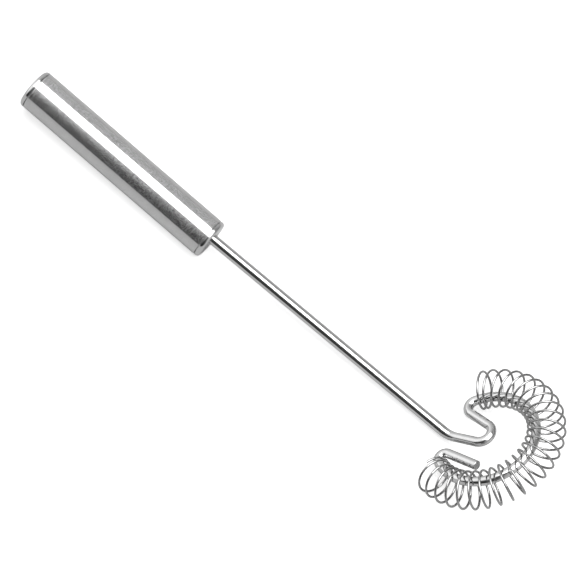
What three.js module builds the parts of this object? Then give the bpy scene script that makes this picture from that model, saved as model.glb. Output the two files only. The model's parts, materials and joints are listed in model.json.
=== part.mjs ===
// Spiral sauce whisk: a steel wire bent into a C-shaped loop, a coil spring threaded on the loop,
// and a hollow steel handle. Millimetres, +Z up. The whisk lies as on a table, with its handle
// towards -X and its loop towards +X. The origin is under the middle of its bounding box.

import * as THREE from "three";

// Handle: a tube with a pressed cap at each end
const HANDLE_DIAMETER = 16;
const HANDLE_WALL = 0.8;
const TUBE_LENGTH = 84.4;
const CAP_HEIGHT = 1.85;
const CAP_EDGE_RADIUS = 1.4;
const SEAM_GAP = 0.3;
const SKIRT_LENGTH = 4.5;
const SKIRT_WALL = 0.9;
const SKIRT_CLEARANCE = 0.3;
const REAR_CAP_THICKNESS = 1.2;
const FRONT_CAP_THICKNESS = 3;

// The handle sits a little askew on the wire: their axes cross at the handle's middle
const HANDLE_SKEW = THREE.MathUtils.degToRad(1.03);

// The wire's tail inside the handle
const WIRE_HOLE_CLEARANCE = 0.3;
const WIRE_HOLE_CHAMFER = 0.35;
const COLLAR_LENGTH = 5;
const COLLAR_CLEARANCE = 0.5;
const COLLAR_SEAT_GAP = 0.3;
const TAIL_STUB = 2;

// Wire: the shank runs along X, and the rest lies in the loop's plane, which tilts up from the shank.
// It is drawn thinner through the shank's bend.
const SHANK_DIAMETER = 4.15;
const WIRE_DIAMETER = 3.65;
const SHANK_LENGTH = 114.2;
const SHANK_BEND_RADIUS = 8;
const LOOP_TILT = THREE.MathUtils.degToRad(40);
const FORWARD_HEADING = THREE.MathUtils.degToRad(11);
const FORWARD_RUN = 12;
const U_BEND_RADIUS = 4.2;
const U_BEND_ANGLE = THREE.MathUtils.degToRad(161);
const RETURN_RUN = 10.1;
const S_BEND_RADIUS = 3.4;
const S_BEND_ANGLE = THREE.MathUtils.degToRad(121.5);
const LOOP_RADIUS = 19.5;
const LOOP_ANGLE = THREE.MathUtils.degToRad(262);
const HOOK_RADIUS = 2.6;
const HOOK_ANGLE = THREE.MathUtils.degToRad(146.5);
const HOOK_RUN = 13.7;

// Spring: it hangs on the inside of its turns, so its middle lies outside the loop's wire
const SPRING_WIRE = 0.9;
const COIL_RADIUS = 6.95;
const COIL_CLEARANCE = 0.68;
const COIL_TURNS = 26.5;
const END_TURNS = 1;
const END_TURN_GAP = 0.5;
const START_PLAY = 2;
const END_PLAY = 2.6;
const START_LEAN = THREE.MathUtils.degToRad(-12);
const END_LEAN = THREE.MathUtils.degToRad(6);
const MIDDLE_TILT = THREE.MathUtils.degToRad(9);

// Facets
const HANDLE_SEGMENTS = 48;
const EDGE_STEPS = 5;
const WIRE_SIDES = 12;
const BEND_STEP = THREE.MathUtils.degToRad(9);
const SPRING_SIDES = 5;
const STEPS_PER_TURN = 8;

const shankRadius = SHANK_DIAMETER / 2;
const wireRadius = WIRE_DIAMETER / 2;
const handleRadius = HANDLE_DIAMETER / 2;
const handleLength = TUBE_LENGTH + 2 * (CAP_HEIGHT + SEAM_GAP);
const skirtRadius = handleRadius - HANDLE_WALL - SKIRT_CLEARANCE;
const skirtBore = skirtRadius - SKIRT_WALL;
const wireHole = shankRadius + WIRE_HOLE_CLEARANCE;
const tailLength = FRONT_CAP_THICKNESS + COLLAR_SEAT_GAP + COLLAR_LENGTH + TAIL_STUB;

const satinSteel = { color: 0xc4c6c8, roughness: 0.32, metalness: 1 };
const polishedSteel = { color: 0xd2d4d6, roughness: 0.14, metalness: 1 };
const springSteel = { color: 0xb9bbbd, roughness: 0.2, metalness: 1 };

function piece(name, geometry, finish) {
  const mesh = new THREE.Mesh(geometry, new THREE.MeshStandardMaterial(finish));
  mesh.name = name;
  return mesh;
}

// A solid of revolution about Y from a list of [radius, height] pairs
function turned(profile) {
  const points = profile.map(([radius, height]) => new THREE.Vector2(radius, height));
  return new THREE.LatheGeometry(points, HANDLE_SEGMENTS);
}

// Moves a handle piece's bore sideways onto the wire, at a depth behind the handle's front face
function askew(geometry, boreRadius, depth) {
  const shift = (handleLength / 2 - depth) * Math.tan(HANDLE_SKEW);
  const reach = boreRadius + 0.001;
  const position = geometry.getAttribute("position");
  for (let i = 0; i < position.count; i++) {
    const radius = Math.hypot(position.getX(i), position.getZ(i));
    if (radius < reach) position.setX(i, position.getX(i) - shift);
  }
  return geometry;
}

// A round solid along a line of points, each with the line's direction and the solid's radius there
function tube(line, sides) {
  const vertices = [];
  const triangles = [];
  const across = new THREE.Vector3(0, 0, 1);
  line.forEach(({ point, direction, radius }, i) => {
    if (i > 0) {
      const turn = new THREE.Quaternion().setFromUnitVectors(line[i - 1].direction, direction);
      across.applyQuaternion(turn);
    }
    across.addScaledVector(direction, -across.dot(direction)).normalize();
    const beside = new THREE.Vector3().crossVectors(direction, across);
    for (let side = 0; side < sides; side++) {
      const angle = (side / sides) * 2 * Math.PI;
      const vertex = point.clone();
      vertex.addScaledVector(across, radius * Math.cos(angle));
      vertex.addScaledVector(beside, radius * Math.sin(angle));
      vertices.push(vertex);
    }
  });
  for (let ring = 0; ring + 1 < line.length; ring++) {
    for (let side = 0; side < sides; side++) {
      const a = ring * sides + side;
      const b = ring * sides + ((side + 1) % sides);
      triangles.push(a, b, a + sides, b, b + sides, a + sides);
    }
  }
  const last = (line.length - 1) * sides;
  for (let side = 1; side + 1 < sides; side++) {
    triangles.push(0, side + 1, side);
    triangles.push(last, last + side, last + side + 1);
  }
  return new THREE.BufferGeometry().setFromPoints(vertices).setIndex(triangles);
}

// A wire bent in a plane by straight runs and by turns of a given radius, positive to the left.
// Each turn keeps its centre and the angle at which it starts.
function bendWire(heading, bends) {
  const line = [];
  const at = new THREE.Vector3();
  const note = () => {
    const direction = new THREE.Vector3(Math.cos(heading), Math.sin(heading), 0);
    line.push({ point: at.clone(), direction });
  };
  note();
  for (const bend of bends) {
    if (bend.run) {
      at.add(new THREE.Vector3(Math.cos(heading), Math.sin(heading), 0).multiplyScalar(bend.run));
      note();
      continue;
    }
    const side = Math.sign(bend.turn);
    const leftward = new THREE.Vector3(-Math.sin(heading), Math.cos(heading), 0);
    bend.centre = at.clone().addScaledVector(leftward, side * bend.radius);
    bend.startAngle = heading - (side * Math.PI) / 2;
    const steps = Math.ceil(Math.abs(bend.turn) / BEND_STEP);
    for (let step = 1; step <= steps; step++) {
      const angle = bend.startAngle + (bend.turn * step) / steps;
      at.set(Math.cos(angle), Math.sin(angle), 0).multiplyScalar(bend.radius).add(bend.centre);
      heading += bend.turn / steps;
      note();
    }
  }
  return line;
}

// An arc that rounds the corner between two directions
function roundCorner(corner, from, to, radius) {
  const angle = from.angleTo(to);
  const axis = new THREE.Vector3().crossVectors(from, to).normalize();
  const inward = new THREE.Vector3().crossVectors(axis, from);
  const start = corner.clone().addScaledVector(from, -radius * Math.tan(angle / 2));
  const centre = start.clone().addScaledVector(inward, radius);
  const steps = Math.ceil(angle / BEND_STEP);
  return Array.from({ length: steps + 1 }, (_, step) => {
    const turn = new THREE.Quaternion().setFromAxisAngle(axis, (angle * step) / steps);
    const point = inward.clone().multiplyScalar(-radius).applyQuaternion(turn).add(centre);
    return { point, direction: from.clone().applyQuaternion(turn) };
  });
}

// Handle pieces stand on Y: the handle's rear face is at 0 and its front face at handleLength
function capProfile(thickness, hole, chamfer) {
  const edge = handleRadius - CAP_EDGE_RADIUS;
  const round = Array.from({ length: EDGE_STEPS + 1 }, (_, step) => {
    const angle = (step / EDGE_STEPS) * (Math.PI / 2);
    return [edge + CAP_EDGE_RADIUS * Math.sin(angle), CAP_EDGE_RADIUS * (1 - Math.cos(angle))];
  });
  const skirtEnd = CAP_HEIGHT + SEAM_GAP + SKIRT_LENGTH;
  return [
    [hole + chamfer, 0],
    ...round,
    [handleRadius, CAP_HEIGHT],
    [skirtRadius, CAP_HEIGHT],
    [skirtRadius, skirtEnd],
    [skirtBore, skirtEnd],
    [skirtBore, thickness],
    [hole, thickness],
  ];
}

function rearCap() {
  return piece("rear_cap", turned(capProfile(REAR_CAP_THICKNESS, 0, 0)), polishedSteel);
}

function frontCap() {
  const profile = capProfile(FRONT_CAP_THICKNESS, wireHole, WIRE_HOLE_CHAMFER);
  const closed = [...profile, [wireHole, WIRE_HOLE_CHAMFER], profile[0]];
  const bored = askew(turned(closed), wireHole + WIRE_HOLE_CHAMFER, FRONT_CAP_THICKNESS / 2);
  const cap = piece("front_cap", bored, polishedSteel);
  cap.rotation.x = Math.PI;
  cap.position.y = handleLength;
  return cap;
}

function handleTube() {
  const bore = handleRadius - HANDLE_WALL;
  const profile = [
    [bore, 0],
    [handleRadius, 0],
    [handleRadius, TUBE_LENGTH],
    [bore, TUBE_LENGTH],
    [bore, 0],
  ];
  const sleeve = piece("handle_tube", turned(profile), satinSteel);
  sleeve.position.y = CAP_HEIGHT + SEAM_GAP;
  return sleeve;
}

function tangCollar() {
  const outside = skirtBore - COLLAR_CLEARANCE;
  const profile = [
    [wireHole, 0],
    [outside, 0],
    [outside, COLLAR_LENGTH],
    [wireHole, COLLAR_LENGTH],
    [wireHole, 0],
  ];
  const seat = FRONT_CAP_THICKNESS + COLLAR_SEAT_GAP;
  const bored = askew(turned(profile), wireHole, seat + COLLAR_LENGTH / 2);
  const collar = piece("tang_collar", bored, satinSteel);
  collar.position.y = handleLength - seat - COLLAR_LENGTH;
  return collar;
}

// The loop's plane holds everything after the shank's bend
const loopBend = { radius: LOOP_RADIUS, turn: -LOOP_ANGLE };
const headLine = bendWire(FORWARD_HEADING, [
  { run: FORWARD_RUN },
  { radius: U_BEND_RADIUS, turn: U_BEND_ANGLE },
  { run: RETURN_RUN },
  { radius: S_BEND_RADIUS, turn: -S_BEND_ANGLE },
  loopBend,
  { radius: HOOK_RADIUS, turn: -HOOK_ANGLE },
  { run: HOOK_RUN },
]);

function whiskWire(headTurn) {
  const along = new THREE.Vector3(1, 0, 0);
  const inTool = ({ point, direction }) => ({
    point: point.clone().applyQuaternion(headTurn),
    direction: direction.clone().applyQuaternion(headTurn),
    radius: wireRadius,
  });
  const head = headLine.map(inTool);
  const tail = new THREE.Vector3(-SHANK_LENGTH - tailLength, 0, 0);
  const bend = roundCorner(head[0].point, along, head[0].direction, SHANK_BEND_RADIUS);
  bend.forEach((place, i) => {
    place.radius = THREE.MathUtils.lerp(shankRadius, wireRadius, i / (bend.length - 1));
  });
  const line = [{ point: tail, direction: along, radius: shankRadius }, ...bend, ...head.slice(1)];
  return piece("whisk_wire", tube(line, WIRE_SIDES), polishedSteel);
}

// The spring's centre line: turns that fan out along the loop, drawn together at both ends.
// Its wire starts under the loop. Its turns lean along the loop, and tilt most in its middle.
function springPoints() {
  const offset = COIL_RADIUS - wireRadius - SPRING_WIRE / 2 - COIL_CLEARANCE;
  const innerRadius = LOOP_RADIUS + offset - COIL_RADIUS;
  const start = START_PLAY / LOOP_RADIUS;
  const span = LOOP_ANGLE - (START_PLAY + END_PLAY) / LOOP_RADIUS;
  const endPitch = (SPRING_WIRE + END_TURN_GAP) / innerRadius;
  const endSpan = END_TURNS * endPitch;
  const pitch = (span - 2 * endSpan) / (COIL_TURNS - 2 * END_TURNS);
  const up = new THREE.Vector3(0, 0, 1);
  const underneath = Math.PI / 2;
  const along = (turn) => {
    if (turn < END_TURNS) return turn * endPitch;
    if (turn > COIL_TURNS - END_TURNS) return span - (COIL_TURNS - turn) * endPitch;
    return endSpan + (turn - END_TURNS) * pitch;
  };
  return Array.from({ length: COIL_TURNS * STEPS_PER_TURN + 1 }, (_, step) => {
    const turn = step / STEPS_PER_TURN;
    const winding = underneath + 2 * Math.PI * turn;
    const angle = loopBend.startAngle - start - along(turn);
    const share = along(turn) / span;
    const lean = THREE.MathUtils.lerp(START_LEAN, END_LEAN, share);
    const tilt = MIDDLE_TILT * 4 * share * (1 - share);
    const outward = new THREE.Vector3(Math.cos(angle), Math.sin(angle), 0);
    const forward = new THREE.Vector3(Math.sin(angle), -Math.cos(angle), 0);
    const reach = outward.clone().multiplyScalar(Math.cos(lean));
    reach.addScaledVector(forward, -Math.sin(lean));
    const rise = up.clone().multiplyScalar(Math.cos(tilt));
    rise.addScaledVector(forward, Math.sin(tilt));
    return outward
      .multiplyScalar(LOOP_RADIUS)
      .add(loopBend.centre)
      .addScaledVector(reach, offset + COIL_RADIUS * Math.cos(winding))
      .addScaledVector(rise, -COIL_RADIUS * Math.sin(winding));
  });
}

// The least gap between stretches of the spring that are over half a turn apart, on points along it
function leastGap(points) {
  const parts = 4;
  const fine = points.slice(1).flatMap((point, i) =>
    Array.from({ length: parts }, (_, part) => points[i].clone().lerp(point, part / parts)),
  );
  const apart = (parts * STEPS_PER_TURN) / 2;
  let least = Infinity;
  for (let i = 0; i < fine.length; i++) {
    for (let j = i + apart; j < fine.length; j++) {
      least = Math.min(least, fine[i].distanceTo(fine[j]));
    }
  }
  return least - SPRING_WIRE;
}

function coilSpring() {
  const points = springPoints();
  const line = points.map((point, i) => {
    const before = points[Math.max(i - 1, 0)];
    const after = points[Math.min(i + 1, points.length - 1)];
    return { point, direction: after.clone().sub(before).normalize(), radius: SPRING_WIRE / 2 };
  });
  console.log(`coil_spring: least gap to itself ${leastGap(points).toFixed(2)} mm`);
  return piece("coil_spring", tube(line, SPRING_SIDES), springSteel);
}

// The upward normal of the plane that touches the lowest point of each of three sets
function restingNormal(sets) {
  const passes = 12;
  const normal = new THREE.Vector3(0, 0, 1);
  const plane = new THREE.Plane();
  for (let pass = 0; pass < passes; pass++) {
    const lower = (a, b) => (b.dot(normal) < a.dot(normal) ? b : a);
    plane.setFromCoplanarPoints(...sets.map((points) => points.reduce(lower)));
    normal.copy(plane.normal).multiplyScalar(Math.sign(plane.normal.z));
  }
  return normal;
}

function worldPoints(object) {
  const points = [];
  object.traverse((node) => {
    if (!node.isMesh) return;
    const position = node.geometry.getAttribute("position");
    for (let i = 0; i < position.count; i++) {
      points.push(new THREE.Vector3().fromBufferAttribute(position, i).applyMatrix4(node.matrixWorld));
    }
  });
  return points;
}

const handle = new THREE.Group();
handle.add(rearCap(), handleTube(), frontCap(), tangCollar());
handle.rotation.z = -Math.PI / 2 - HANDLE_SKEW;
handle.position.set(-SHANK_LENGTH - handleLength / 2, 0, 0);
handle.translateY(-handleLength / 2);

const head = new THREE.Group();
head.rotation.y = -LOOP_TILT;
head.add(coilSpring());

// The tool has its shank along X and the corner of the shank's bend at its origin
const tool = new THREE.Group();
tool.add(handle, head, whiskWire(head.quaternion));
tool.updateMatrixWorld(true);

// It lies on the handle and on the two sides of the spring, with the shank's direction towards +X
const spring = worldPoints(head);
const left = spring.filter((point) => point.y > 0);
const right = spring.filter((point) => point.y < 0);
const normal = restingNormal([worldPoints(handle), left, right]);
const levelled = new THREE.Quaternion().setFromUnitVectors(normal, new THREE.Vector3(0, 0, 1));
const ahead = new THREE.Vector3(1, 0, 0).applyQuaternion(levelled);
const yaw = Math.atan2(ahead.y, ahead.x);
tool.quaternion.setFromAxisAngle(new THREE.Vector3(0, 0, 1), -yaw).multiply(levelled);

const whisk = new THREE.Group();
whisk.add(tool);
whisk.updateMatrixWorld(true);
const box = new THREE.Box3().setFromObject(whisk, true);
const middle = box.getCenter(new THREE.Vector3());
tool.position.set(-middle.x, -middle.y, -box.min.z);

export default whisk;
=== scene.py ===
"""Models the smooth steel pieces of a spiral sauce whisk over its solids, and the white studio round it."""

import json
from math import ceil, cos, pi, radians, sin, tan

import bmesh
import bpy
from bpy.props import FloatProperty, FloatVectorProperty, IntProperty, PointerProperty, StringProperty
from mathutils import Matrix, Vector


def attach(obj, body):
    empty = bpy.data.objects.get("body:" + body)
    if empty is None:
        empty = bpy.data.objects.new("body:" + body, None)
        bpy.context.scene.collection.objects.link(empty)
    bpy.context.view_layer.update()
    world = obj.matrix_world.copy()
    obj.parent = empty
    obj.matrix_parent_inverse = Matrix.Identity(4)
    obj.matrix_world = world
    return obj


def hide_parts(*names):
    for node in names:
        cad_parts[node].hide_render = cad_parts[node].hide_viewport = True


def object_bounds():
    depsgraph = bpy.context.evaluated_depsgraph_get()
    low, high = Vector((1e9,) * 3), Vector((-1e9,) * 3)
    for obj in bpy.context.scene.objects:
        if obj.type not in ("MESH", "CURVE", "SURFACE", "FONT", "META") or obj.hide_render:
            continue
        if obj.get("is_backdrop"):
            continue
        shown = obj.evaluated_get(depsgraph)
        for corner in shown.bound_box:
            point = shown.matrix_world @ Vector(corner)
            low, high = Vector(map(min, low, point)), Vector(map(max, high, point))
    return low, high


bl_info = {
    "name": "Spiral Whisk",
    "version": (1, 0, 0),
    "blender": (4, 5, 0),
    "location": "3D View > Sidebar > Whisk",
    "description": "Models a spiral sauce whisk piece by piece and sets a white studio round it",
    "category": "Add Mesh",
}

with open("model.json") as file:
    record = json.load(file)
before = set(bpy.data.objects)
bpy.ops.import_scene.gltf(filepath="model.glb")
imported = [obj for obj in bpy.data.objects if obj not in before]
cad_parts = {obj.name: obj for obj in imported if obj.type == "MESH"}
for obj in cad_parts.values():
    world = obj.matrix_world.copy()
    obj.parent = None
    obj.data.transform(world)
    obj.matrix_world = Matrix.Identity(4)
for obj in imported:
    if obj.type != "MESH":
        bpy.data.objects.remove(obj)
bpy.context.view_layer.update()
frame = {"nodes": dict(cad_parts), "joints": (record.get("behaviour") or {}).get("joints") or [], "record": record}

MM = 0.001
ROUND_SEGMENTS = 128
EDGE_SEGMENTS = 10
LIP_SEGMENTS = 3
BEND_STEP = radians(3)
SUPPORT = 0.5 * MM
SMOOTH_ANGLE = radians(35)
FACING = 0.9
WELD = 0.001 * MM
NEAR = 0.01 * MM
PLACE_TOLERANCE = 0.05 * MM
TONE_RANGE = (0.7, 1.3)
COARSE_RANGE = (0.52, 0.58)
CUT_SLOT = 1

# The handle's and the loop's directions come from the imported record. The shank runs towards +X and falls
# a little towards the loop, and the handle sits askew on it.
REAR_FACE = frame["record"]["mounts"][0]
LOOP_JOINT = frame["joints"][0]
SHANK_FALL = radians(2.0135)
SHANK_ALONG = Vector((cos(SHANK_FALL), 0, -sin(SHANK_FALL)))
HANDLE_ALONG = -Vector(REAR_FACE["axis"]).normalized()
HANDLE_SKEW = HANDLE_ALONG.angle(SHANK_ALONG)
LOOP_UP = Vector(LOOP_JOINT["axis"]).normalized()
SIDEWAYS = LOOP_UP.cross(SHANK_ALONG).normalized()
LOOP_AHEAD = SIDEWAYS.cross(LOOP_UP)
LOOP_CENTRE = Vector(LOOP_JOINT["pos_m"])

# The room that the steel mirrors, by compass direction in degrees from +X towards +Y: black behind the
# camera, white on its left and grey beyond
WALLS = (
    (-180, "#FFFFFF"), (-165, "#FFFFFF"), (-148, "#F4F4F4"), (-138, "#F0F0F0"), (-130, "#A4A4A4"),
    (-122, "#404040"), (-110, "#2B2B2B"), (-65, "#2B2B2B"), (-50, "#555555"), (-35, "#989898"),
    (-15, "#C6C6C6"), (5, "#D8D8D8"), (20, "#989898"), (50, "#787878"), (70, "#919191"), (90, "#A4A4A4"),
    (112, "#B1B1B1"), (140, "#C1C1C1"), (165, "#E6E6E6"), (180, "#FFFFFF"),
)
CEILING = (
    (-180, "#ECECEC"), (-150, "#F8F8F8"), (-128, "#D8D8D8"), (-112, "#989898"), (-98, "#565656"),
    (-65, "#565656"), (-35, "#C6C6C6"), (-5, "#E9E9E9"), (25, "#BCBCBC"), (60, "#818181"),
    (90, "#818181"), (115, "#989898"), (140, "#C6C6C6"), (165, "#E1E1E1"), (180, "#ECECEC"),
)
WALL_TOP = radians(20)
CEILING_EDGE = radians(60)


def length(label, about, size):
    """A length property, from its size in millimetres."""
    return FloatProperty(
        name=label, description=about, default=size * MM, subtype="DISTANCE", unit="LENGTH"
    )


def angle(label, about, size):
    """An angle property, from its size in degrees."""
    return FloatProperty(
        name=label, description=about, default=radians(size), subtype="ANGLE", unit="ROTATION"
    )


def hex_colour(label, about, code):
    """A colour property that holds an sRGB hex code."""
    return StringProperty(name=label, description=about, default=code)


def level(label, about, size):
    """A property for a brightness, where white is 1."""
    return FloatProperty(name=label, description=about, default=size, min=0, subtype="FACTOR")


class WhiskHandle(bpy.types.PropertyGroup):
    """Sizes of the hollow handle and its two caps."""

    diameter: length("Diameter", "Outside diameter of the tube and the caps", 16)
    wall: length("Wall", "Thickness of the tube's wall", 0.8)
    tube_length: length("Tube length", "Length of the tube between the caps", 84.4)
    tube_lip: length("Tube lip", "Rounding of the tube's rims beside the seams", 0.15)
    cap_height: length("Cap height", "Height of a cap outside the tube", 1.85)
    cap_edge: length("Cap edge", "Radius of a cap's rounded outer edge", 1.4)
    cap_lip: length("Cap lip", "Rounding of a cap's rim beside its seam", 0.12)
    seam: length("Seam", "Width of the seam between a cap and the tube", 0.3)
    skirt_radius: length("Skirt radius", "Outside radius of a cap's skirt in the tube", 6.9)
    skirt_wall: length("Skirt wall", "Thickness of a cap's skirt", 0.9)
    skirt_length: length("Skirt length", "Length of a cap's skirt in the tube", 4.5)
    rear_thickness: length("Rear cap thickness", "Thickness of the rear cap's disc", 1.2)
    front_thickness: length("Front cap thickness", "Thickness of the front cap's disc", 3)
    hole_radius: length("Hole radius", "Radius of the wire's hole in the front cap", 2.375)
    hole_chamfer: length("Hole chamfer", "Chamfer at the mouth of the wire's hole", 0.35)


class WhiskWire(bpy.types.PropertyGroup):
    """Sizes of the bent wire, in the order in which it is bent."""

    shank_diameter: length("Shank diameter", "Diameter of the wire up to its first bend", 4.15)
    diameter: length("Diameter", "Diameter of the wire after its first bend", 3.65)
    sides: IntProperty(name="Sides", description="Sides of the wire's round section", default=40, min=12)
    tail: length("Tail", "Length of the wire inside the handle", 10.3)
    shank: length("Shank", "Length from the handle to the corner of the first bend", 114.2)
    shank_bend: length("Shank bend", "Radius of the bend from the shank into the loop's plane", 8)
    heading: angle("Heading", "Direction in the loop's plane after the first bend", 11)
    forward_run: length("Forward run", "Straight from the first bend's corner to the U bend", 12)
    u_radius: length("U bend radius", "Radius of the U bend", 4.2)
    u_angle: angle("U bend angle", "Angle of the U bend, to the left", 161)
    return_run: length("Return run", "Straight from the U bend to the loop's neck", 10.1)
    neck_radius: length("Neck radius", "Radius of the neck that starts the loop", 3.4)
    neck_angle: angle("Neck angle", "Angle of the neck, to the right", 121.5)
    loop_radius: length("Loop radius", "Radius of the open loop", 19.5)
    loop_angle: angle("Loop angle", "Angle of the open loop, to the right", 262)
    hook_radius: length("Hook radius", "Radius of the hook at the wire's end", 2.6)
    hook_angle: angle("Hook angle", "Angle of the hook, to the right", 146.5)
    hook_run: length("Hook run", "Straight end of the hook", 13.7)
    cut_edge: length("Cut edge", "Rounding left by tumbling on the wire's cut ends", 0.2)


class WhiskSpring(bpy.types.PropertyGroup):
    """Sizes of the coil spring that is threaded on the loop."""

    wire: length("Wire", "Diameter of the spring's wire", 0.9)
    coil_radius: length("Coil radius", "Radius of a turn, to the middle of the wire", 6.95)
    clearance: length("Clearance", "Gap between the loop and the turns' inner side", 0.68)
    turns: FloatProperty(name="Turns", description="Number of turns", default=26.5, min=4)
    end_turns: FloatProperty(name="End turns", description="Turns drawn together at each end", default=1)
    end_gap: length("End gap", "Gap between the turns drawn together at each end", 0.5)
    start_play: length("Start play", "Length of loop left free before the first turn", 2)
    end_play: length("End play", "Length of loop left free after the last turn", 2.6)
    start_lean: angle("Start lean", "Lean of the first turn along the loop", -12)
    end_lean: angle("End lean", "Lean of the last turn along the loop", 6)
    middle_tilt: angle("Middle tilt", "Tilt of the middle turns out of the loop's radius", 9)
    cut_edge: length("Cut edge", "Rounding of the spring's cut ends", 0.08)
    steps: IntProperty(name="Steps", description="Steps along the wire in one turn", default=48, min=16)
    roundness: IntProperty(name="Roundness", description="Resolution of the wire's section", default=4)


class WhiskColours(bpy.types.PropertyGroup):
    """Colours of the steel and the floor, as sRGB hex codes."""

    tube: hex_colour("Tube", "Reflected colour of the satin tube", "#C8C8C8")
    tube_dull: hex_colour("Tube, dull", "Reflected colour where the satin finish is duller", "#BEBEBE")
    cap: hex_colour("Cap", "Reflected colour of the polished caps", "#CACACA")
    cap_dull: hex_colour("Cap, dull", "Reflected colour where the caps are duller", "#C0C0C0")
    wire: hex_colour("Wire", "Reflected colour of the polished wire", "#CBCBCB")
    wire_dull: hex_colour("Wire, dull", "Reflected colour where the polish is duller", "#C0C0C0")
    cut: hex_colour("Cut end", "Reflected colour of the wire's sheared ends", "#B2B2B2")
    cut_dull: hex_colour("Cut end, dull", "Reflected colour in the shearing lines", "#8E8E8E")
    spring: hex_colour("Spring", "Reflected colour of the bright drawn spring wire", "#ABABAB")
    spring_dull: hex_colour("Spring, dull", "Reflected colour in the spring wire's drawing lines", "#989898")
    collar: hex_colour("Collar", "Reflected colour of the turned collar", "#B8B8B8")
    collar_dull: hex_colour("Collar, dull", "Reflected colour in the collar's turning lines", "#A6A6A6")
    floor: hex_colour("Floor", "Colour of the studio floor", "#E7E7E7")


class WhiskStudio(bpy.types.PropertyGroup):
    """Camera, lights and screens of the white studio."""

    eye: FloatVectorProperty(
        name="Eye",
        description="Place of the camera",
        default=(81.96 * MM, -502.86 * MM, 1006.10 * MM),
        subtype="TRANSLATION",
        unit="LENGTH",
    )
    look: FloatVectorProperty(
        name="Look",
        description="Direction in which the camera looks",
        default=(-0.07143, 0.44876, -0.89079),
        subtype="DIRECTION",
    )
    top: FloatVectorProperty(
        name="Top",
        description="Direction of the picture's top",
        default=(-0.62592, 0.67518, 0.39033),
        subtype="DIRECTION",
    )
    lens: FloatProperty(
        name="Lens", description="Focal length on a 36 mm sensor", default=187.5, unit="CAMERA"
    )
    lamp_height: length("Lamp height", "Height of the overhead soft box", 1400)
    lamp_width: length("Lamp width", "Width of the soft box across the handle", 1160)
    lamp_length: length("Lamp length", "Length of the soft box along the handle", 1700)
    lamp_shift: length("Lamp shift", "Shift of the soft box away from the camera", 70)
    lamp_glow: level("Lamp glow", "Brightness of the soft box on the floor", 3.2)
    lamp_gleam: level("Lamp gleam", "Brightness of the soft box in the steel", 5)
    room_light: level("Room light", "Even light of the room on the floor", 0.15)
    room_radius: length("Room radius", "Radius of the room that the steel mirrors", 1900)
    room_gleam: level("Room gleam", "Brightness in the steel of what is white in the room", 1.6)
    floor_size: length("Floor size", "Side of the floor", 24000)
    floor_glow: level("Floor glow", "White added to the floor as it is seen", 0.7)


def linear(code):
    """The linear colour of an sRGB hex code."""
    levels = [int(code[i:i + 2], 16) / 255 for i in (1, 3, 5)]
    return [v / 12.92 if v <= 0.04045 else ((v + 0.055) / 1.055) ** 2.4 for v in levels] + [1]


def add_node(tree, kind, settings=None, links=None):
    """Add a node, set its options and inputs, and link its inputs from other nodes' outputs."""
    node = tree.nodes.new(kind)
    for name, value in (settings or {}).items():
        if isinstance(name, str) and hasattr(node, name):
            setattr(node, name, value)
        else:
            node.inputs[name].default_value = value
    for name, source in (links or {}).items():
        tree.links.new(source, node.inputs[name])
    return node


def new_tree(name):
    """A new material and its empty node tree."""
    material = bpy.data.materials.new(name)
    material.use_nodes = True
    material.node_tree.nodes.clear()
    return material, material.node_tree


def steel(name, bright, dull, grain, patch, roughness, relief):
    """A steel finish with a grain along the handle, of a width and length in millimetres. Its tone is
    uneven over patches, and less than a third of it, in the grain, has the second, coarser roughness."""
    material = bpy.data.materials.get(name)
    if material:
        return material
    material, tree = new_tree(name)
    place = add_node(tree, "ShaderNodeTexCoord").outputs["Object"]
    turn = along_handle(0)
    width, reach = (size * MM for size in grain)
    local = add_node(
        tree,
        "ShaderNodeMapping",
        {
            "vector_type": "TEXTURE",
            "Location": turn.translation,
            "Rotation": turn.to_euler(),
            "Scale": (width, width, reach),
        },
        {"Vector": place},
    )
    lines = add_node(
        tree, "ShaderNodeTexNoise", {"Scale": 1, "Detail": 2}, {"Vector": local.outputs["Vector"]}
    )
    patches = add_node(
        tree, "ShaderNodeTexNoise", {"Scale": 1 / (patch * MM), "Detail": 3}, {"Vector": place}
    )
    uneven = add_node(
        tree,
        "ShaderNodeMath",
        {"operation": "ADD"},
        {0: lines.outputs["Fac"], 1: patches.outputs["Fac"]},
    )
    tone = add_node(
        tree,
        "ShaderNodeMapRange",
        {"From Min": TONE_RANGE[0], "From Max": TONE_RANGE[1]},
        {"Value": uneven.outputs["Value"]},
    )
    colour = add_node(tree, "ShaderNodeValToRGB", links={"Fac": tone.outputs["Result"]})
    low, high = colour.color_ramp.elements
    low.color = linear(dull)
    high.color = linear(bright)
    finest, coarsest = roughness
    polish = add_node(
        tree,
        "ShaderNodeMapRange",
        {
            "From Min": COARSE_RANGE[0],
            "From Max": COARSE_RANGE[1],
            "To Min": finest,
            "To Max": coarsest,
        },
        {"Value": lines.outputs["Fac"]},
    )
    bump = add_node(
        tree, "ShaderNodeBump", {"Strength": 1, "Distance": relief * MM}, {"Height": lines.outputs["Fac"]}
    )
    shader = add_node(
        tree,
        "ShaderNodeBsdfPrincipled",
        {"Metallic": 1},
        {
            "Base Color": colour.outputs["Color"],
            "Roughness": polish.outputs["Result"],
            "Normal": bump.outputs["Normal"],
        },
    )
    add_node(tree, "ShaderNodeOutputMaterial", links={"Surface": shader.outputs["BSDF"]})
    return material


def satin_steel(colours):
    """Stainless tube, drawn and satin polished: sharp bands of the studio, and a haze beside the white."""
    return steel(
        "Satin stainless steel",
        colours.tube,
        colours.tube_dull,
        grain=(0.08, 0.3),
        patch=6,
        roughness=(0.09, 0.5),
        relief=0.0005,
    )


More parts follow.
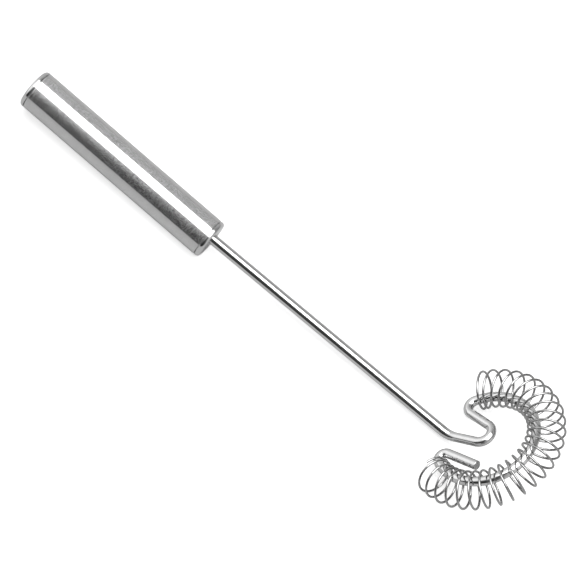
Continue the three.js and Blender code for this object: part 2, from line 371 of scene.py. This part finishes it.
def bright_steel(colours):
    """Stainless sheet, pressed to a cap and mirror polished: sharp white and black arcs on its edge."""
    return steel(
        "Mirror polished stainless steel",
        colours.cap,
        colours.cap_dull,
        grain=(0.6, 0.6),
        patch=4,
        roughness=(0.07, 0.13),
        relief=0.0005,
    )


def polished_steel(colours):
    """Stainless wire, drawn and bright polished: narrow, nearly mirror-sharp stripes of white and black."""
    return steel(
        "Polished stainless wire",
        colours.wire,
        colours.wire_dull,
        grain=(0.4, 6),
        patch=4,
        roughness=(0.07, 0.13),
        relief=0.0005,
    )


def sheared_steel(colours):
    """The wire's cut ends, sheared and only tumbled: matt and darker than the polished wire beside them."""
    return steel(
        "Sheared stainless steel",
        colours.cut,
        colours.cut_dull,
        grain=(0.5, 0.5),
        patch=2,
        roughness=(0.35, 0.5),
        relief=0.004,
    )


def spring_steel(colours):
    """Spring wire, bright drawn and left unpolished: small highlights, a little greyer and softer."""
    return steel(
        "Bright drawn spring wire",
        colours.spring,
        colours.spring_dull,
        grain=(0.3, 1.2),
        patch=3,
        roughness=(0.07, 0.13),
        relief=0.0005,
    )


def turned_steel(colours):
    """Free-cutting steel, turned on a lathe and left as it came off: dull, with coarse lines."""
    return steel(
        "Turned steel",
        colours.collar,
        colours.collar_dull,
        grain=(2, 0.3),
        patch=2,
        roughness=(0.32, 0.45),
        relief=0.004,
    )


def handle_length(sizes):
    """The handle's length over its caps."""
    return sizes.tube_length + 2 * (sizes.cap_height + sizes.seam)


def along_handle(place):
    """The matrix that stands local Z along the handle and local X to its left, at a distance from its
    rear face."""
    left = (SIDEWAYS - HANDLE_ALONG * SIDEWAYS.dot(HANDLE_ALONG)).normalized()
    turn = Matrix((left, HANDLE_ALONG.cross(left), HANDLE_ALONG)).transposed().to_4x4()
    return Matrix.Translation(Vector(REAR_FACE["pos_m"]) + HANDLE_ALONG * place) @ turn


def settle(piece, matrix):
    """Put a piece's mesh in its place, and leave its object at the origin."""
    piece.matrix_world = matrix
    bpy.ops.object.transform_apply(location=True, rotation=True, scale=True)


def start(context):
    """Take the new primitive into edit mode, with its place in its mesh and nothing selected."""
    piece = context.object
    bpy.ops.object.transform_apply(location=True, rotation=True, scale=True)
    bpy.ops.object.mode_set(mode="EDIT")
    bpy.ops.mesh.select_mode(type="EDGE")
    bpy.ops.mesh.select_all(action="DESELECT")
    return piece


def pick_faces(piece, test):
    """Select the faces that pass a test."""
    bpy.ops.mesh.select_all(action="DESELECT")
    bpy.ops.mesh.select_mode(type="FACE")
    mesh = bmesh.from_edit_mesh(piece.data)
    for face in mesh.faces:
        face.select_set(test(face))
    bmesh.update_edit_mesh(piece.data)


def pick_rim(piece, radius, height):
    """Select the edges that run round the local Z axis at a radius and a height."""
    bpy.ops.mesh.select_all(action="DESELECT")
    bpy.ops.mesh.select_mode(type="EDGE")
    mesh = bmesh.from_edit_mesh(piece.data)
    rim = [v for v in mesh.verts if abs(v.co.z - height) < NEAR and abs(v.co.xy.length - radius) < NEAR]
    for edge in mesh.edges:
        edge.select_set(all(vertex in rim for vertex in edge.verts))
    bmesh.update_edit_mesh(piece.data)


def slide(distance):
    """Extrude what is selected along local Z."""
    bpy.ops.mesh.extrude_region_move(TRANSFORM_OT_translate={"value": (0, 0, distance)})


def close(piece):
    """Leave edit mode with doubles merged, faces outwards and smooth shading between sharp edges."""
    bpy.ops.mesh.select_all(action="SELECT")
    bpy.ops.mesh.remove_doubles(threshold=WELD)
    bpy.ops.mesh.normals_make_consistent(inside=False)
    bpy.ops.object.mode_set(mode="OBJECT")
    bpy.ops.object.shade_smooth_by_angle(angle=SMOOTH_ANGLE)
    mesh = bmesh.new()
    mesh.from_mesh(piece.data)
    gaps = sum(not edge.is_manifold for edge in mesh.edges)
    mesh.free()
    if gaps:
        raise RuntimeError(f"{piece.name} has {gaps} open edges")


def hand_over(piece, node, body, material):
    """Give a finished piece its name, finish, body and slot, in place of a solid."""
    piece.name = f"{node}_smooth"
    piece.data.name = piece.name
    piece.data.materials.clear()
    piece.data.materials.append(material)
    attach(piece, body)
    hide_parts(node)


class WHISK_OT_handle_tube(bpy.types.Operator):
    """Model the handle's hollow tube, with rounded rims"""

    bl_idname = "whisk.handle_tube"
    bl_label = "Handle tube"

    def execute(self, context):
        sizes = context.scene.whisk_handle
        radius = sizes.diameter / 2
        end = sizes.tube_length
        bpy.ops.object.select_all(action="DESELECT")
        bpy.ops.mesh.primitive_cylinder_add(
            vertices=ROUND_SEGMENTS, radius=radius, depth=end, location=(0, 0, end / 2)
        )
        tube = start(context)

        # The ends are drawn in by the wall's thickness, and joined through the tube
        pick_faces(tube, lambda face: abs(face.normal.z) > FACING)
        bpy.ops.mesh.inset(thickness=sizes.wall)
        bpy.ops.mesh.bridge_edge_loops()

        # Rings close to the rims keep the long sides straight in the light
        for height in (SUPPORT, end - SUPPORT):
            bpy.ops.mesh.select_all(action="SELECT")
            bpy.ops.mesh.bisect(plane_co=(0, 0, height), plane_no=(0, 0, 1))
        for height in (0, end):
            pick_rim(tube, radius, height)
            bpy.ops.mesh.bevel(offset=sizes.tube_lip, segments=LIP_SEGMENTS, affect="EDGES")
        close(tube)
        settle(tube, along_handle(sizes.cap_height + sizes.seam))
        hand_over(tube, "handle_tube", "whisk", satin_steel(context.scene.whisk_colours))
        return {"FINISHED"}


class WHISK_OT_end_caps(bpy.types.Operator):
    """Model the handle's two caps: discs with round edges and skirts, the front one with the wire's hole"""

    bl_idname = "whisk.end_caps"
    bl_label = "End caps"

    def execute(self, context):
        sizes = context.scene.whisk_handle
        material = bright_steel(context.scene.whisk_colours)

        rear = self.disc(context, sizes, sizes.rear_thickness)
        close(rear)
        settle(rear, along_handle(0))
        hand_over(rear, "rear_cap", "whisk", material)

        front = self.disc(context, sizes, sizes.front_thickness)
        self.hole(front, sizes)
        close(front)
        settle(front, along_handle(handle_length(sizes)) @ Matrix.Rotation(pi, 4, "X"))
        hand_over(front, "front_cap", "whisk", material)
        return {"FINISHED"}

    def disc(self, context, sizes, thickness):
        """A cap in edit mode: its outer face is at height 0 and its skirt points up."""
        radius = sizes.diameter / 2
        bpy.ops.object.select_all(action="DESELECT")
        bpy.ops.mesh.primitive_cylinder_add(
            vertices=ROUND_SEGMENTS,
            radius=radius,
            depth=sizes.cap_height,
            location=(0, 0, sizes.cap_height / 2),
        )
        cap = start(context)

        # The skirt is pulled up from the inner side and hollowed
        skirt_end = sizes.cap_height + sizes.seam + sizes.skirt_length
        pick_faces(cap, lambda face: face.normal.z > FACING)
        bpy.ops.mesh.inset(thickness=radius - sizes.skirt_radius)
        slide(skirt_end - sizes.cap_height)
        bpy.ops.mesh.inset(thickness=sizes.skirt_wall)
        slide(thickness - skirt_end)

        # The outer edge is rounded, and a ring inside it keeps the face flat in the light
        pick_rim(cap, radius, 0)
        bpy.ops.mesh.bevel(offset=sizes.cap_edge, segments=EDGE_SEGMENTS, affect="EDGES")
        pick_rim(cap, radius, sizes.cap_height)
        bpy.ops.mesh.bevel(offset=sizes.cap_lip, segments=LIP_SEGMENTS, affect="EDGES")
        pick_faces(cap, lambda face: face.normal.z < -FACING and len(face.verts) == ROUND_SEGMENTS)
        bpy.ops.mesh.inset(thickness=SUPPORT)
        return cap

    def hole(self, cap, sizes):
        """Cut the wire's hole, with a chamfer at its mouth. It is off the middle, because the handle sits
        askew on the wire."""
        from_middle = (handle_length(sizes) - sizes.front_thickness) / 2
        shift = (from_middle * tan(HANDLE_SKEW), 0, 0)
        face_radius = sizes.diameter / 2 - sizes.cap_edge - SUPPORT
        bpy.ops.mesh.inset(thickness=face_radius - sizes.hole_radius - sizes.hole_chamfer)
        bpy.ops.transform.translate(value=shift)
        bpy.ops.mesh.inset(thickness=sizes.hole_chamfer, depth=-sizes.hole_chamfer)
        pick_faces(cap, lambda face: face.normal.z > FACING and len(face.verts) == ROUND_SEGMENTS)
        bpy.ops.mesh.inset(thickness=sizes.skirt_radius - sizes.skirt_wall - sizes.hole_radius)
        bpy.ops.transform.translate(value=shift)
        pick_faces(cap, lambda face: len(face.verts) == ROUND_SEGMENTS)
        bpy.ops.mesh.bridge_edge_loops()


class WHISK_OT_tang_collar(bpy.types.Operator):
    """Give the collar inside the handle its turned finish"""

    bl_idname = "whisk.tang_collar"
    bl_label = "Tang collar"

    def execute(self, context):
        collar = frame["nodes"]["tang_collar"]
        if not collar.material_slots:
            raise RuntimeError("the collar has no material slot")
        for slot in collar.material_slots:
            slot.material = turned_steel(context.scene.whisk_colours)
        return {"FINISHED"}


class FreeEnd:
    """The end of a wire that is being bent: its place, and the direction ahead."""

    def __init__(self, place, ahead):
        self.place = place
        self.ahead = ahead

    def run(self, distance):
        """Go straight on, with a ring close to each end."""
        for share in (SUPPORT, distance - 2 * SUPPORT, SUPPORT):
            step = self.ahead * share
            bpy.ops.mesh.extrude_region_move(TRANSFORM_OT_translate={"value": step})
            self.place = self.place + step

    def turn(self, axis, radius, bend):
        """Bend round an axis, to its left. The spin operator counts its angle the other way."""
        centre = self.place + axis.cross(self.ahead) * radius
        bpy.ops.mesh.spin(steps=ceil(bend / BEND_STEP), angle=-bend, center=centre, axis=axis)
        swing = Matrix.Rotation(bend, 3, axis)
        self.place = centre + swing @ (self.place - centre)
        self.ahead = swing @ self.ahead
        return centre

    def thin(self, axis, radius, bend, share):
        """Bend round an axis step by step, and draw the wire down to a share of its thickness on the way."""
        steps = ceil(bend / BEND_STEP)
        step_share = share ** (1 / steps)
        for _ in range(steps):
            self.turn(axis, radius, bend / steps)
            bpy.ops.transform.resize(value=(step_share,) * 3, center_override=self.place)


class WHISK_OT_whisk_wire(bpy.types.Operator):
    """Bend the wire from its tail in the handle through the shank, the U bend and the loop to the hook"""

    bl_idname = "whisk.whisk_wire"
    bl_label = "Whisk wire"

    def execute(self, context):
        sizes = context.scene.whisk_wire
        half_handle = handle_length(context.scene.whisk_handle) / 2
        tail = along_handle(half_handle).translation + SHANK_ALONG * (half_handle - sizes.tail)
        bpy.ops.object.select_all(action="DESELECT")
        bpy.ops.mesh.primitive_circle_add(
            vertices=sizes.sides,
            radius=sizes.shank_diameter / 2,
            location=tail,
            rotation=SHANK_ALONG.to_track_quat("Z", "Y").to_euler(),
        )
        wire = start(context)
        bpy.ops.mesh.select_all(action="SELECT")
        end = FreeEnd(tail, SHANK_ALONG)

        # The first bend rounds the corner between the shank and the loop's plane, and thins the wire
        ahead = LOOP_AHEAD * cos(sizes.heading) + SIDEWAYS * sin(sizes.heading)
        corner = SHANK_ALONG.angle(ahead)
        cut_off = sizes.shank_bend * tan(corner / 2)
        end.run(sizes.tail + sizes.shank - cut_off)
        share = sizes.diameter / sizes.shank_diameter
        end.thin(SHANK_ALONG.cross(ahead).normalized(), sizes.shank_bend, corner, share)
        end.run(sizes.forward_run - cut_off)

        # The rest lies in the loop's plane
        end.turn(LOOP_UP, sizes.u_radius, sizes.u_angle)
        end.run(sizes.return_run)
        end.turn(-LOOP_UP, sizes.neck_radius, sizes.neck_angle)
        centre = end.turn(-LOOP_UP, sizes.loop_radius, sizes.loop_angle)
        if (centre - LOOP_CENTRE).length > PLACE_TOLERANCE:
            raise RuntimeError("the wire's loop isn't where the spring slides")
        end.turn(-LOOP_UP, sizes.hook_radius, sizes.hook_angle)
        end.run(sizes.hook_run)

        # Both ends are cut square and tumbled
        bpy.ops.mesh.select_all(action="SELECT")
        bpy.ops.mesh.fill_holes(sides=0)
        pick_faces(wire, lambda face: len(face.verts) == sizes.sides)
        bpy.ops.mesh.region_to_loop()
        bpy.ops.mesh.bevel(offset=sizes.cut_edge, segments=LIP_SEGMENTS, affect="EDGES")
        close(wire)
        hand_over(wire, "whisk_wire", "whisk", polished_steel(context.scene.whisk_colours))

        # The cut ends are left as they were sheared
        wire.data.materials.append(sheared_steel(context.scene.whisk_colours))
        bpy.ops.object.mode_set(mode="EDIT")
        pick_faces(wire, lambda face: len(face.verts) == sizes.sides)
        wire.active_material_index = CUT_SLOT
        bpy.ops.object.material_slot_assign()
        bpy.ops.object.mode_set(mode="OBJECT")
        return {"FINISHED"}


class WHISK_OT_coil_spring(bpy.types.Operator):
    """Wind the coil spring on the loop"""

    bl_idname = "whisk.coil_spring"
    bl_label = "Coil spring"

    def execute(self, context):
        sizes = context.scene.whisk_spring
        points = self.centre_line(sizes, context.scene.whisk_wire)

        # No mesh operator winds a round wire on a curved axis, so a bevelled curve follows the centre line
        line = bpy.data.curves.new("coil_spring_line", "CURVE")
        line.dimensions = "3D"
        line.bevel_depth = sizes.wire / 2
        line.bevel_resolution = sizes.roundness
        line.use_fill_caps = True
        spline = line.splines.new("POLY")
        spline.points.add(len(points) - 1)
        for point, place in zip(spline.points, points):
            point.co = (*place, 1)
        spring = bpy.data.objects.new("coil_spring_line", line)
        context.collection.objects.link(spring)
        bpy.ops.object.select_all(action="DESELECT")
        spring.select_set(True)
        context.view_layer.objects.active = spring
        bpy.ops.object.convert(target="MESH")
        spring = start(context)

        # Both ends are cut square, with the burr taken off
        bpy.ops.mesh.select_all(action="SELECT")
        bpy.ops.mesh.remove_doubles(threshold=WELD)
        pick_faces(spring, lambda face: len(face.verts) > 4)
        bpy.ops.mesh.region_to_loop()
        bpy.ops.mesh.bevel(offset=sizes.cut_edge, segments=LIP_SEGMENTS, affect="EDGES")
        close(spring)
        hand_over(spring, "coil_spring", "spring", spring_steel(context.scene.whisk_colours))
        return {"FINISHED"}

    def centre_line(self, sizes, wire):
        """Points along the spring's wire. Its turns fan out round the loop and are drawn together at both
        ends. They lean along the loop, and tilt most in the spring's middle."""
        offset = sizes.coil_radius - wire.diameter / 2 - sizes.wire / 2 - sizes.clearance
        inner_radius = wire.loop_radius + offset - sizes.coil_radius
        loop_start = wire.heading + wire.u_angle - wire.neck_angle + pi / 2
        first_place = loop_start - sizes.start_play / wire.loop_radius
        span = wire.loop_angle - (sizes.start_play + sizes.end_play) / wire.loop_radius
        end_pitch = (sizes.wire + sizes.end_gap) / inner_radius
        end_span = sizes.end_turns * end_pitch
        pitch = (span - 2 * end_span) / (sizes.turns - 2 * sizes.end_turns)
        points = []
        for step in range(round(sizes.turns * sizes.steps) + 1):
            turn = step / sizes.steps
            left = sizes.turns - turn
            if turn < sizes.end_turns:
                along = turn * end_pitch
            elif left < sizes.end_turns:
                along = span - left * end_pitch
            else:
                along = end_span + (turn - sizes.end_turns) * pitch
            place = first_place - along
            outward = LOOP_AHEAD * cos(place) + SIDEWAYS * sin(place)
            forward = LOOP_AHEAD * sin(place) - SIDEWAYS * cos(place)
            share = along / span
            lean = sizes.start_lean + (sizes.end_lean - sizes.start_lean) * share
            tilt = sizes.middle_tilt * 4 * share * (1 - share)
            reach = outward * cos(lean) - forward * sin(lean)
            rise = LOOP_UP * cos(tilt) + forward * sin(tilt)
            winding = pi / 2 + 2 * pi * turn
            across = reach * (offset + sizes.coil_radius * cos(winding))
            depth = rise * (sizes.coil_radius * sin(winding))
            points.append(LOOP_CENTRE + outward * wire.loop_radius + across - depth)
        return points


class WHISK_OT_stage(bpy.types.Operator):
    """Set the camera, the white floor, the soft box and the screens that the steel mirrors"""

    bl_idname = "whisk.stage"
    bl_label = "Studio"

    def execute(self, context):
        studio = context.scene.whisk_studio
        context.scene.view_settings.view_transform = "Standard"
        self.camera(context, studio)
        self.floor(context, studio)
        self.room(context, studio)
        self.soft_box(context, studio)
        self.daylight(context, studio)
        return {"FINISHED"}

    def camera(self, context, studio):
        """A long lens, high above the whisk's side, as in the photograph."""
        look = Vector(studio.look).normalized()
        right = look.cross(Vector(studio.top)).normalized()
        turn = Matrix((right, right.cross(look), -look)).transposed().to_4x4()
        bpy.ops.object.camera_add()
        camera = context.object
        camera.matrix_world = Matrix.Translation(Vector(studio.eye)) @ turn
        camera.data.lens = studio.lens
        context.scene.camera = camera

    def floor(self, context, studio):
        """A white floor just under the whisk. It glows where it is seen, so that it is white in the picture
        and still takes the whisk's shadow, and the steel mirrors it as it is lit."""
        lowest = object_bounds()[0].z
        bpy.ops.object.select_all(action="DESELECT")
        bpy.ops.mesh.primitive_plane_add(size=studio.floor_size, location=(0, 0, lowest))
        floor = context.object
        floor.name = "studio_floor"
        material, tree = new_tree("Studio floor")
        ray = add_node(tree, "ShaderNodeLightPath")
        seen = add_node(
            tree,
            "ShaderNodeMath",
            {"operation": "MULTIPLY", 1: studio.floor_glow},
            {0: ray.outputs["Is Camera Ray"]},
        )
        emission = add_node(tree, "ShaderNodeEmission", links={"Strength": seen.outputs["Value"]})
        matt = add_node(tree, "ShaderNodeBsdfDiffuse", {"Color": linear(context.scene.whisk_colours.floor)})
        both = add_node(tree, "ShaderNodeAddShader", links={0: matt.outputs[0], 1: emission.outputs[0]})
        add_node(tree, "ShaderNodeOutputMaterial", links={"Surface": both.outputs[0]})
        material.cycles.emission_sampling = "NONE"
        floor.data.materials.append(material)
        floor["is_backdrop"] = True

    def room(self, context, studio):
        """A dome over the whisk that only the steel mirrors, for the room round the photographer."""
        bpy.ops.object.select_all(action="DESELECT")
        bpy.ops.mesh.primitive_uv_sphere_add(
            segments=ROUND_SEGMENTS, ring_count=ROUND_SEGMENTS // 2, radius=studio.room_radius
        )
        dome = start(context)
        pick_faces(dome, lambda face: face.calc_center_median().z < 0)
        bpy.ops.mesh.delete(type="FACE")
        bpy.ops.object.mode_set(mode="OBJECT")
        dome.name = "studio_room"

        material, tree = new_tree("Studio room")
        place = add_node(tree, "ShaderNodeTexCoord").outputs["Object"]
        outward = add_node(tree, "ShaderNodeVectorMath", {"operation": "NORMALIZE"}, {0: place})
        sides = add_node(tree, "ShaderNodeSeparateXYZ", links={"Vector": outward.outputs["Vector"]})
        bearing = add_node(
            tree,
            "ShaderNodeMath",
            {"operation": "ARCTAN2"},
            {0: sides.outputs["Y"], 1: sides.outputs["X"]},
        )
        compass = add_node(
            tree,
            "ShaderNodeMapRange",
            {"From Min": -pi, "From Max": pi},
            {"Value": bearing.outputs["Value"]},
        )
        glows = []
        for bands in (WALLS, CEILING):
            ramp = add_node(tree, "ShaderNodeValToRGB", links={"Fac": compass.outputs["Result"]})
            stops = ramp.color_ramp.elements
            for degrees, _ in bands[1:-1]:
                stops.new(degrees / 360 + 0.5)
            for stop, (_, code) in zip(stops, bands):
                stop.color = linear(code)
            glow = add_node(
                tree,
                "ShaderNodeEmission",
                {"Strength": studio.room_gleam},
                {"Color": ramp.outputs["Color"]},
            )
            glows.append(glow.outputs["Emission"])
        height = add_node(tree, "ShaderNodeMath", {"operation": "ARCSINE"}, {0: sides.outputs["Z"]})
        rise = add_node(
            tree,
            "ShaderNodeMapRange",
            {"From Min": WALL_TOP, "From Max": CEILING_EDGE},
            {"Value": height.outputs["Value"]},
        )
        walls, ceiling = glows
        whole = add_node(
            tree, "ShaderNodeMixShader", links={"Fac": rise.outputs["Result"], 1: walls, 2: ceiling}
        )
        add_node(tree, "ShaderNodeOutputMaterial", links={"Surface": whole.outputs["Shader"]})
        self.only_mirrored(dome, material)

    def soft_box(self, context, studio):
        """A large soft box overhead, which lights the floor, and its front, which the steel mirrors as a
        white band."""
        place = (0, studio.lamp_shift, studio.lamp_height)
        bpy.ops.object.light_add(type="AREA", location=place)
        lamp = context.object
        lamp.name = "soft_box"
        lamp.data.shape = "RECTANGLE"
        lamp.data.size = studio.lamp_length
        lamp.data.size_y = studio.lamp_width
        lamp.data.energy = studio.lamp_glow * pi * studio.lamp_length * studio.lamp_width
        lamp.visible_camera = False
        lamp.visible_glossy = False

        bpy.ops.object.select_all(action="DESELECT")
        bpy.ops.mesh.primitive_plane_add(size=1, location=place)
        front = context.object
        front.name = "soft_box_front"
        front.scale = (studio.lamp_length, studio.lamp_width, 1)
        material, tree = new_tree("Soft box")
        glow = add_node(tree, "ShaderNodeEmission", {"Strength": studio.lamp_gleam})
        add_node(tree, "ShaderNodeOutputMaterial", links={"Surface": glow.outputs["Emission"]})
        self.only_mirrored(front, material)

    def only_mirrored(self, piece, material):
        """Make a piece of the studio show in the steel alone."""
        for sight in ("visible_camera", "visible_diffuse", "visible_transmission", "visible_shadow"):
            setattr(piece, sight, False)
        material.cycles.emission_sampling = "NONE"
        piece.data.materials.append(material)
        piece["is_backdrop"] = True

    def daylight(self, context, studio):
        """White all round to the eye and in the steel, and an even light on the floor."""
        world = bpy.data.worlds.new("Studio daylight")
        world.use_nodes = True
        tree = world.node_tree
        tree.nodes.clear()
        ray = add_node(tree, "ShaderNodeLightPath")
        mirrored = add_node(
            tree,
            "ShaderNodeMath",
            {"operation": "MAXIMUM"},
            {0: ray.outputs["Is Glossy Ray"], 1: ray.outputs["Is Transmission Ray"]},
        )
        shown = add_node(
            tree,
            "ShaderNodeMath",
            {"operation": "MAXIMUM"},
            {0: mirrored.outputs["Value"], 1: ray.outputs["Is Camera Ray"]},
        )
        light = add_node(
            tree, "ShaderNodeBackground", {"Color": linear("#FFFFFF"), "Strength": studio.room_light}
        )
        white = add_node(tree, "ShaderNodeBackground", {"Color": linear("#FFFFFF"), "Strength": 1})
        mix = add_node(
            tree,
            "ShaderNodeMixShader",
            links={"Fac": shown.outputs["Value"], 1: light.outputs[0], 2: white.outputs[0]},
        )
        add_node(tree, "ShaderNodeOutputWorld", links={"Surface": mix.outputs[0]})
        context.scene.world = world


class WHISK_PT_pieces(bpy.types.Panel):
    """The whisk's pieces and its studio"""

    bl_idname = "WHISK_PT_pieces"
    bl_label = "Spiral Whisk"
    bl_space_type = "VIEW_3D"
    bl_region_type = "UI"
    bl_category = "Whisk"

    def draw(self, context):
        for operator in OPERATORS:
            self.layout.operator(operator.bl_idname)


GROUPS = {
    "whisk_handle": WhiskHandle,
    "whisk_wire": WhiskWire,
    "whisk_spring": WhiskSpring,
    "whisk_colours": WhiskColours,
    "whisk_studio": WhiskStudio,
}
OPERATORS = (
    WHISK_OT_handle_tube,
    WHISK_OT_end_caps,
    WHISK_OT_tang_collar,
    WHISK_OT_whisk_wire,
    WHISK_OT_coil_spring,
    WHISK_OT_stage,
)


def register():
    for kind in (*GROUPS.values(), *OPERATORS, WHISK_PT_pieces):
        bpy.utils.register_class(kind)
    for name, group in GROUPS.items():
        setattr(bpy.types.Scene, name, PointerProperty(type=group))


def unregister():
    for name in GROUPS:
        delattr(bpy.types.Scene, name)
    for kind in (WHISK_PT_pieces, *reversed(OPERATORS), *reversed(GROUPS.values())):
        bpy.utils.unregister_class(kind)


def main():
    register()
    bpy.ops.whisk.handle_tube()
    bpy.ops.whisk.end_caps()
    bpy.ops.whisk.tang_collar()
    bpy.ops.whisk.whisk_wire()
    bpy.ops.whisk.coil_spring()
    bpy.ops.whisk.stage()


if __name__ == "__main__":
    main()
